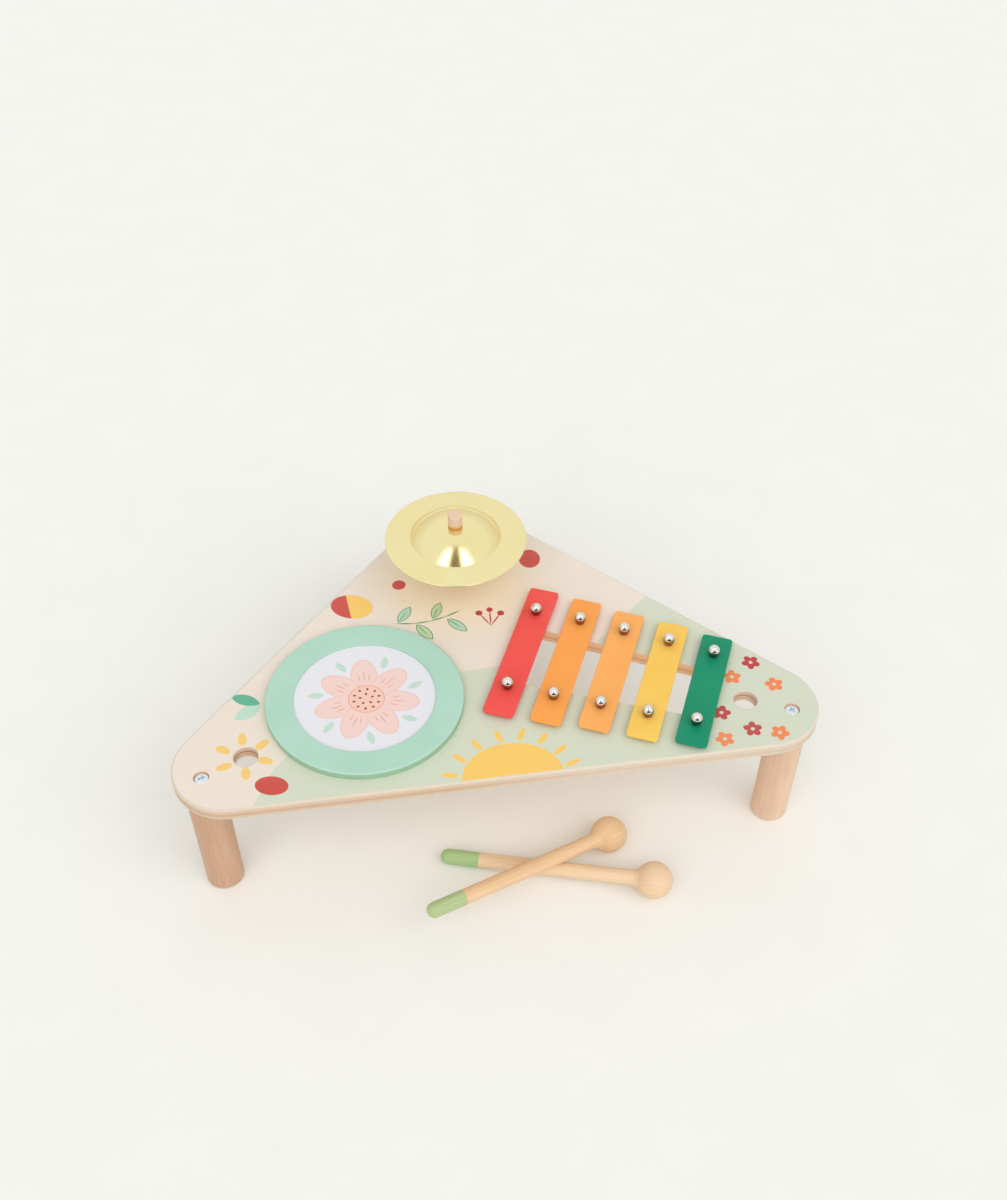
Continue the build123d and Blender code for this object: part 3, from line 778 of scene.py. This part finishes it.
def make_cymbal():
    low, high = box_mm("cymbal")
    rim = (high.x - low.x) / 2
    over = cymbal_top_line()
    under = [(radius, height - CYMBAL_SHEET) for radius, height in reversed(over)]
    half = CYMBAL_SHEET / 2
    centre = (over[-1][0], over[-1][1] - half)
    edge = arc(centre, rim - centre[0], 80, -80, 8)
    vertices, faces = lathe(over + edge + under, 288, True, upright_at(middle("cymbal")))
    faces = [face[::-1] for face in faces]
    make_piece(
        "cymbal_sheet", vertices, faces, "cymbal", cymbal_material(), "cymbal_brass", "cymbal"
    )


# ---- pins ----
PIN_HEAD_RADIUS = 3.9
PIN_SHANK_RADIUS = 1.5
PIN_COLLAR_RADIUS = 3.2
PIN_COLLAR_HEIGHT = 0.4
PIN_FLARE = 3.6                 # height over which the collar widens to the head
PIN_GRIP = 7.5


def pin_outline(top):
    """Shank, collar, a slowly widening body and a half ball, from the tip up."""
    head_centre = top - PIN_HEAD_RADIUS
    collar_top = head_centre - PIN_FLARE
    collar_foot = collar_top - PIN_COLLAR_HEIGHT
    shank_foot = BOARD_TOP - PIN_GRIP
    wider = PIN_HEAD_RADIUS - PIN_COLLAR_RADIUS
    body = [
        (PIN_COLLAR_RADIUS + wider * math.sin(share * math.pi / 2), collar_top + PIN_FLARE * share)
        for share in (i / 10 for i in range(10))
    ]
    return (
        [(0, shank_foot), (PIN_SHANK_RADIUS - 0.3, shank_foot)]
        + [(PIN_SHANK_RADIUS, shank_foot + 0.4), (PIN_SHANK_RADIUS, collar_foot)]
        + arc((PIN_COLLAR_RADIUS - 0.25, collar_foot + 0.25), 0.25, -90, 0, 4)
        + body
        + arc((0, head_centre), PIN_HEAD_RADIUS, 0, 90, 22)
    )


def make_pins(material):
    for bar in BARS:
        node = "pins_" + bar
        spots = two_spots(node, PIN_HEAD_RADIUS)
        outline = pin_outline(spots[1].z)
        pins = [lathe(outline, 64, False, upright_at(spot)) for spot in spots]
        make_piece(node + "_turned", *joined(*pins), "table", material, "bright_pin", node)


# ---- leg screws ----
SCREW_HEAD_RADIUS = 4.7
SCREW_HEAD_HEIGHT = 2.8
SCREW_RECESS = 0.7
SCREW_SHANK_RADIUS = 2.5


def screw_outline(seat, tip):
    """A pan head over a threaded shank, from the tip up."""
    pitch, crest, root = 0.8, SCREW_SHANK_RADIUS, SCREW_SHANK_RADIUS - 0.32
    outline = [(0, tip), (root - 0.5, tip), (root, tip + 0.8)]
    height = tip + 1.2
    while height + pitch < seat - 0.6:
        outline += [(root, height), (crest, height + pitch * 0.4), (crest, height + pitch * 0.55)]
        height += pitch
    outline += [(root, seat - 0.5), (root, seat)]
    outline += arc((SCREW_HEAD_RADIUS - 0.4, seat + 0.4), 0.4, -90, 0, 4)
    shoulder, top = 0.9, seat + SCREW_HEAD_HEIGHT
    outline += arc((SCREW_HEAD_RADIUS - shoulder, top - shoulder - 0.25), shoulder, 0, 70, 8)
    return outline + [(1.2, top - 0.04), (0, top)]


def cross_cutter(top):
    """A cross recess: two tapered blades that narrow with depth."""
    blades = []
    for turn in (20, 110):
        spin = Matrix.Rotation(math.radians(turn), 3, "Z")
        corners = []
        for height, length, width in ((top - 1.9, 0.7, 0.35), (top + 0.3, 2.7, 0.66)):
            for x, y in ((-1, -1), (1, -1), (1, 1), (-1, 1)):
                corners.append(spin @ Vector((x * length, y * width, height)))
        sides = [[i, (i + 1) % 4, (i + 1) % 4 + 4, i + 4] for i in range(4)]
        blades.append((corners, [[3, 2, 1, 0], [4, 5, 6, 7]] + sides))
    return blades


def cut(vertices, faces, cutters):
    """The shape with each cutter taken out of it."""
    blank = mesh_object("blank", vertices, faces)
    tools = []
    for cutter in cutters:
        tool = mesh_object("cutter", *cutter)
        modifier = blank.modifiers.new("cut", "BOOLEAN")
        modifier.operation = "DIFFERENCE"
        modifier.solver = "EXACT"
        modifier.object = tool
        tools.append(tool)
    seen = blank.evaluated_get(bpy.context.evaluated_depsgraph_get())
    made = bpy.data.meshes.new_from_object(seen)
    result = ([v.co.copy() for v in made.vertices], [list(p.vertices) for p in made.polygons])
    for extra in [blank, *tools]:
        bpy.data.objects.remove(extra)
    return result


def make_leg_screws(material):
    """The same screw over each leg."""
    head_top = BOARD_TOP - SCREW_RECESS
    tip = box_mm("leg_screws")[0].z
    blank = lathe(screw_outline(head_top - SCREW_HEAD_HEIGHT, tip), 72, False)
    vertices, faces = cut(*blank, cross_cutter(head_top))
    screws = []
    for leg in LEGS:
        spot = middle(leg)
        screws.append(([v + Vector((spot.x, spot.y, 0)) for v in vertices], faces))
    make_piece(
        "leg_screws_turned", *joined(*screws), "table", material, "zinc", "leg_screws", sharp=28
    )


# ---- mallets ----
STICK_RADIUS = 5.25
BALL_RADIUS = 12.5
NECK_RADIUS = 8.0
DIP_LENGTH = 27.0
DIP_STEP = 0.09                 # thickness of the dipped paint


def mallet_outline(reach):
    """From the dipped tip at the origin to the far side of the ball, as (radius, along)."""
    tip = arc((0, 0), STICK_RADIUS, -90, 0, 14)
    dip_end = DIP_LENGTH - STICK_RADIUS
    bare = STICK_RADIUS - DIP_STEP
    rise = bare + NECK_RADIUS
    span = BALL_RADIUS + NECK_RADIUS
    run = math.sqrt(span ** 2 - rise ** 2)
    lean = math.degrees(math.asin(run / span))
    neck = arc((rise, reach - run), NECK_RADIUS, 180, 180 - lean, 16)
    ball = arc((0, reach), BALL_RADIUS, -lean, 90, 48)
    stick = [(STICK_RADIUS, dip_end * i / 6) for i in range(1, 6)]
    stick += [(STICK_RADIUS, dip_end - 0.3), (bare + DIP_STEP * 0.4, dip_end)]
    stick += [(bare, dip_end + 0.15)]
    stick += [(bare, dip_end + (reach - run - dip_end) * i / 12) for i in range(1, 12)]
    return tip + stick + neck + ball[1:]


def mallet_material(name, place, green, pale_green):
    """Turned wood, and a dipped tip whose paint lets a little grain show."""
    graph = Graph(name + "_wood")
    turn = place.to_euler()
    origin = place.to_translation()
    local = graph.place(origin, turn)
    _, _, along = graph.axes(local)
    grain_turn = (place.to_3x3() @ Matrix.Rotation(math.radians(-90), 3, "Y")).to_euler()
    grain = graph.place(origin, grain_turn)
    wood, height = wood_tone(graph, grain, TONES[name], 2.4, (0, 30, 17), 0.24)
    waver = graph.noise(graph.stretch(local, (0.12, 0.12, 0.02)), 1.0, 2.0)
    dip_end = DIP_LENGTH - STICK_RADIUS
    dipped = (along + waver * 0.9).ramp(dip_end + 0.55, dip_end + 0.35)
    streak = graph.noise(graph.stretch(grain, (0.04, 1.3, 1.3)), 1.0, 3.0, 0.6)
    paint = graph.mix(streak.ramp(0.35, 0.75), green, pale_green)
    colour = graph.mix(dipped, wood, paint)
    rough = 0.5 - dipped * 0.14 + height * 0.08
    return graph.finish(colour, rough, graph.bump(height, 0.04), Specular_IOR_Level=0.38)


def make_mallet(node, tip, ball, green, pale_green):
    axis = (ball - tip).normalized()
    place = Matrix.Translation(tip) @ axis.to_track_quat("Z", "X").to_matrix().to_4x4()
    material = mallet_material(node, place, green, pale_green)
    shape = lathe(mallet_outline((ball - tip).length), 96, False, place)
    make_piece(node + "_turned", *shape, node, material, "mallet_beech", node)


def make_mallets():
    """The tip and ball of each mallet are found from its box."""
    low, high = box_mm("mallet_lower")
    tip = Vector((low.x + STICK_RADIUS, high.y - STICK_RADIUS, STICK_RADIUS))
    ball = Vector((high.x - BALL_RADIUS, low.y + BALL_RADIUS, BALL_RADIUS))
    make_mallet("mallet_lower", tip, ball, srgb(156, 188, 122), srgb(180, 206, 148))
    low, high = box_mm("mallet_upper")
    tip = Vector((low.x + STICK_RADIUS, low.y + STICK_RADIUS, high.z - STICK_RADIUS))
    ball = Vector((high.x - BALL_RADIUS, high.y - BALL_RADIUS, BALL_RADIUS))
    make_mallet("mallet_upper", tip, ball, srgb(166, 188, 128), srgb(190, 204, 154))


# ---- felt washers ----
def felt_outline(inner, outer, low, high):
    """A ring with soft rounded edges."""
    soft = min(0.45, (high - low) / 3)
    return (
        arc((outer - soft, low + soft), soft, -90, 0, 4)
        + [(outer, (low + high) / 2)]
        + arc((outer - soft, high - soft), soft, 0, 90, 4)
        + arc((inner + soft, high - soft), soft, 90, 180, 4)
        + arc((inner + soft, low + soft), soft, 180, 270, 4)
    )


def fluffy(radius, height, angle):
    """Slight unevenness round a felt ring, always inwards."""
    dent = 0.05 * (1 + math.sin(angle * 5 + height * 2)) + 0.03 * (1 + math.sin(angle * 11))
    return radius - dent, height


PAD_RADIUS = 4.5
PAD_HOLE = 1.9
WASHER_HOLE = 2.7


def make_pads(material):
    for bar in BARS:
        node = "pads_" + bar
        spots = two_spots(node, PAD_RADIUS)
        outline = felt_outline(PAD_HOLE, PAD_RADIUS, spots[0].z, spots[1].z)
        rings = [lathe(outline, 40, True, upright_at(spot), fluffy) for spot in spots]
        make_piece(node + "_felt", *joined(*rings), "table", material, "grey_felt", node)


def make_cymbal_washers(material):
    for node in ("cymbal_lower_washer", "cymbal_upper_washer"):
        low, high = box_mm(node)
        outline = felt_outline(WASHER_HOLE, (high.x - low.x) / 2, low.z, high.z)
        shape = lathe(outline, 56, True, upright_at(middle(node)), fluffy)
        make_piece(node + "_felt", *shape, node, material, "tan_felt", node)


# ======== finishes of the CAD nodes
BAR_PAINT = {
    "red": (srgb(247, 88, 79), srgb(232, 70, 63)),
    "orange": (srgb(253, 166, 79), srgb(248, 153, 65)),
    "apricot": (srgb(255, 179, 97), srgb(250, 166, 82)),
    "yellow": (srgb(251, 206, 96), srgb(246, 195, 80)),
    "green": (srgb(6, 148, 108), srgb(0, 130, 94)),
}


def dress(node, material):
    slots = NODES[node].material_slots
    if not slots:
        NODES[node].data.materials.append(material)
    for slot in slots:
        slot.material = material


def dress_nodes():
    """Materials of the CAD nodes that stay. Gives back the zinc, which the leg screws take too."""
    dress("table_top", board_material())
    for index, leg in enumerate(LEGS):
        spot = middle(leg)
        pith = (0, 34 + 9 * index, 18 - 16 * index)
        dress(leg, wood_material(leg + "_wood", leg, (spot.x, spot.y, 0), UPRIGHT, 2.8, pith))
    turned = (("cymbal_column", "turned", (0, 26, 12)), ("cymbal_cap", "cap", (0, 9, 7)))
    for node, tones, pith in turned:
        spot = middle(node)
        dress(node, wood_material(node + "_wood", tones, (spot.x, spot.y, 0), UPRIGHT, 2.0, pith))
    dress("drum_hoop", wood_material("hoop_wood", "hoop"))
    ring_top = box_mm("drum_ring")[1].z
    mint, deep_mint, shaded_side_mint = srgb(182, 219, 202), srgb(168, 212, 190), srgb(156, 191, 159)
    # The ring's upright outer side and inner lip get painted shade.
    dress("drum_ring", paint_material(
        "mint_paint", mint, deep_mint, 0.42, 0.2, shaded_side_mint, ring_top
    ))
    dress("drum_skin", skin_material())
    for bar, (pale, deep) in BAR_PAINT.items():
        dress("bar_" + bar, paint_material("paint_" + bar, pale, deep))
    zinc = zinc_material()
    for node in ("drum_ring_screws", "cymbal_column_screw", "cymbal_rod"):
        dress(node, zinc)
    dress("leg_inserts", plain_brass_material())
    return zinc


# ======== stage
def plane(name, *outlines):
    """A stage piece of flat faces, each given by its corners."""
    shapes = [(corners, [range(len(corners))]) for corners in outlines]
    made = mesh_object(name, *joined(*shapes), MM)
    return made


BACKDROP = srgb(245, 245, 240)
WORLD_LIGHT = 0.66
FLOOR_REACH = 14000.0
FLOOR_DROP = 0.05               # below the feet, so that no faces lie in one plane


def make_floor():
    signs = ((-1, -1), (1, -1), (1, 1), (-1, 1))
    floor = plane("floor", [(x * FLOOR_REACH, y * FLOOR_REACH, -FLOOR_DROP) for x, y in signs])
    graph = Graph("floor")
    tooth = graph.noise(graph.place(), 0.02, 3.0)
    colour = graph.mix(tooth.ramp(0.3, 0.7), srgb(246, 246, 241), srgb(244, 244, 239))
    floor.data.materials.append(graph.finish(colour, 0.9, Specular_IOR_Level=0.0))


def make_world():
    """Even light on the object. Camera, mirror and glass rays see the pale backdrop itself."""
    world = bpy.data.worlds.new("studio")
    bpy.context.scene.world = world
    world.use_nodes = True
    nodes, links = world.node_tree.nodes, world.node_tree.links
    nodes.clear()
    paths = nodes.new("ShaderNodeLightPath")
    seen = paths.outputs["Is Camera Ray"]
    for kind in ("Is Glossy Ray", "Is Transmission Ray"):
        either = nodes.new("ShaderNodeMath")
        either.operation = "MAXIMUM"
        links.new(seen, either.inputs[0])
        links.new(paths.outputs[kind], either.inputs[1])
        seen = either.outputs[0]
    mix = nodes.new("ShaderNodeMixShader")
    links.new(seen, mix.inputs[0])
    for socket, colour, strength in ((1, (1, 1, 1, 1), WORLD_LIGHT), (2, BACKDROP, 1.0)):
        background = nodes.new("ShaderNodeBackground")
        background.inputs["Color"].default_value = colour
        background.inputs["Strength"].default_value = strength
        links.new(background.outputs[0], mix.inputs[socket])
    output = nodes.new("ShaderNodeOutputWorld")
    links.new(mix.outputs[0], output.inputs["Surface"])


# ---- camera: fitted to the photograph's frame of 1007 by 1200 pixels ----
PHOTO_WIDTH, PHOTO_HEIGHT = 1007, 1200
FOCAL_PIXELS = 1357.4
CENTRE_PIXEL = (499.36, 679.27)         # where the lens axis meets the picture
CAMERA_PLACE = Vector((-86.9, -623.85, 777.7))
CAMERA_YAW, CAMERA_PITCH, CAMERA_ROLL = -0.15332, 0.83584, 0.00392
SENSOR = 36.0


def make_camera():
    data = bpy.data.cameras.new("camera")
    data.sensor_fit = "AUTO"
    data.sensor_width = SENSOR
    data.lens = FOCAL_PIXELS / PHOTO_HEIGHT * SENSOR
    data.shift_x = (PHOTO_WIDTH / 2 - CENTRE_PIXEL[0]) / PHOTO_HEIGHT
    data.shift_y = (CENTRE_PIXEL[1] - PHOTO_HEIGHT / 2) / PHOTO_HEIGHT
    data.clip_start, data.clip_end = 0.01, 100.0        # metres
    camera = add_object("camera", data)
    aim = (
        Matrix.Rotation(CAMERA_YAW, 4, "Z")
        @ Matrix.Rotation(math.pi / 2 - CAMERA_PITCH, 4, "X")
        @ Matrix.Rotation(CAMERA_ROLL, 4, "Z")
    )
    camera.matrix_world = Matrix.Translation(CAMERA_PLACE * MM) @ aim
    bpy.context.scene.camera = camera


PANEL_RISE = 1300.0                 # of the overhead panels above the bell
OVERHEAD = {                        # corners right of and towards the camera, in shares of the rise
    "panel_left": (
        (-0.39, 1.02), (-0.86, 0.88), (-0.74, 0.68), (-0.39, 0.27), (-0.17, 0.0), (-0.1, 0.05),
    ),
    "panel_right": ((0.26, 1.03), (0.1, 0.05), (0.16, 0.0), (0.35, 0.27), (0.66, 0.7), (0.76, 0.9)),
    "dark_card": ((-0.36, 1.1), (-0.05, -0.02), (0.0, -0.09), (0.05, -0.02), (0.25, 1.1)),
}
FRONT_AWAY = 3000.0                 # of the upright screens from the bell, towards the camera
FRONT = {                           # corners to the right and above the board, in shares of that
    "curtain_foot": ((-0.9, -0.03), (0.9, -0.03), (0.77, 0.22), (-0.77, 0.22)),
    "curtain_low": ((-0.77, 0.22), (0.77, 0.22), (0.64, 0.45), (-0.64, 0.45)),
    "curtain_high": ((-0.64, 0.45), (0.64, 0.45), (0.46, 0.86), (-0.46, 0.86)),
    "curtain_top": ((-0.46, 0.86), (0.46, 0.86), (0.2, 1.4), (-0.2, 1.4)),
    "screen_left": ((-0.94, -0.02), (-0.7, 0.4), (-0.5, 0.86), (-1.0, 0.8), (-1.5, -0.02)),
    "screen_right": ((0.94, -0.02), (1.5, -0.02), (1.0, 0.8), (0.5, 0.86), (0.7, 0.4)),
}
RADIANCE = {
    "panel_left": (2.6, 2.6, 2.6), "panel_right": (2.6, 2.6, 2.6), "dark_card": (0.24, 0.18, 0.10),
    "screen_left": (1.3, 1.3, 1.3), "screen_right": (1.3, 1.3, 1.3),
    "curtain_foot": (0.01, 0.01, 0.01), "curtain_low": (0.08, 0.08, 0.07),
    "curtain_high": (0.45, 0.45, 0.42), "curtain_top": (0.6, 0.6, 0.57),
}


def make_screen(name, radiance, *outlines):
    """Light panels or dark cards that only polished surfaces reflect."""
    screen = plane(name, *outlines)
    graph = Graph(name)
    graph.shader.inputs["Emission Strength"].default_value = 1.0
    graph.shader.inputs["Emission Color"].default_value = (*radiance, 1)
    screen.data.materials.append(graph.finish((0, 0, 0, 1), 1.0, Specular_IOR_Level=0.0))
    screen.visible_camera = screen.visible_diffuse = screen.visible_shadow = False


def make_screens():
    """Overhead panels and card for the bell, upright screens and curtain for the pins."""
    bell = middle("cymbal")
    toward = Vector((CAMERA_PLACE.x - bell.x, CAMERA_PLACE.y - bell.y)).normalized()
    right = Vector((-toward.y, toward.x))
    for name, corners in OVERHEAD.items():
        spots = [bell.xy + (right * x + toward * y) * PANEL_RISE for x, y in corners]
        make_screen(name, RADIANCE[name], [(*spot, bell.z + PANEL_RISE) for spot in spots])
    for name, corners in FRONT.items():
        make_screen(name, RADIANCE[name], [
            (*(bell.xy + (right * x + toward) * FRONT_AWAY), BOARD_TOP + y * FRONT_AWAY)
            for x, y in corners
        ])


HORIZON_AWAY = 2200.0               # of a curved wall behind, which the bell's foot mirrors
HORIZON = (                         # foot, top and radiance of its two rows
    (0.0, 700.0, (0.80, 0.73, 0.56)), (700.0, 1400.0, (0.86, 0.83, 0.77)),
)


def make_horizon():
    """A curved wall behind, of flat strips in two rows."""
    bell = middle("cymbal")
    back = math.atan2(bell.y - CAMERA_PLACE.y, bell.x - CAMERA_PLACE.x)
    turns = [back + math.radians(degrees) for degrees in range(-105, 106, 15)]
    feet = [bell.xy + Vector((math.cos(turn), math.sin(turn))) * HORIZON_AWAY for turn in turns]
    for index, (low, high, radiance) in enumerate(HORIZON):
        strips = [[(*a, low), (*b, low), (*b, high), (*a, high)] for a, b in zip(feet, feet[1:])]
        make_screen("horizon_" + str(index), radiance, *strips)


LAMP_POWER = 0.80
LAMP_WIDTH = math.radians(50)
LAMP_TILT = math.radians(48)            # from straight down


def make_lights():
    """Two wide soft lamps, in front on both sides. Polished surfaces don't mirror them."""
    for name, degrees in (("lamp_left", -36), ("lamp_right", 30)):
        data = bpy.data.lights.new(name, "SUN")
        data.angle = LAMP_WIDTH
        data.energy = LAMP_POWER
        lamp = add_object(name, data)
        lamp.rotation_euler = (LAMP_TILT, 0, math.radians(degrees) - CAMERA_YAW)
        lamp.visible_glossy = False


# ======== build
zinc = dress_nodes()
make_pins(chrome_material())
make_leg_screws(zinc)
make_cymbal()
make_mallets()
make_pads(felt_material("grey_felt", srgb(214, 212, 206), srgb(176, 173, 166)))
make_cymbal_washers(felt_material("tan_felt", srgb(252, 200, 130), srgb(238, 172, 100)))

make_floor()
make_world()
make_screens()
make_horizon()
make_lights()
make_camera()
bpy.context.scene.view_settings.view_transform = "Standard"
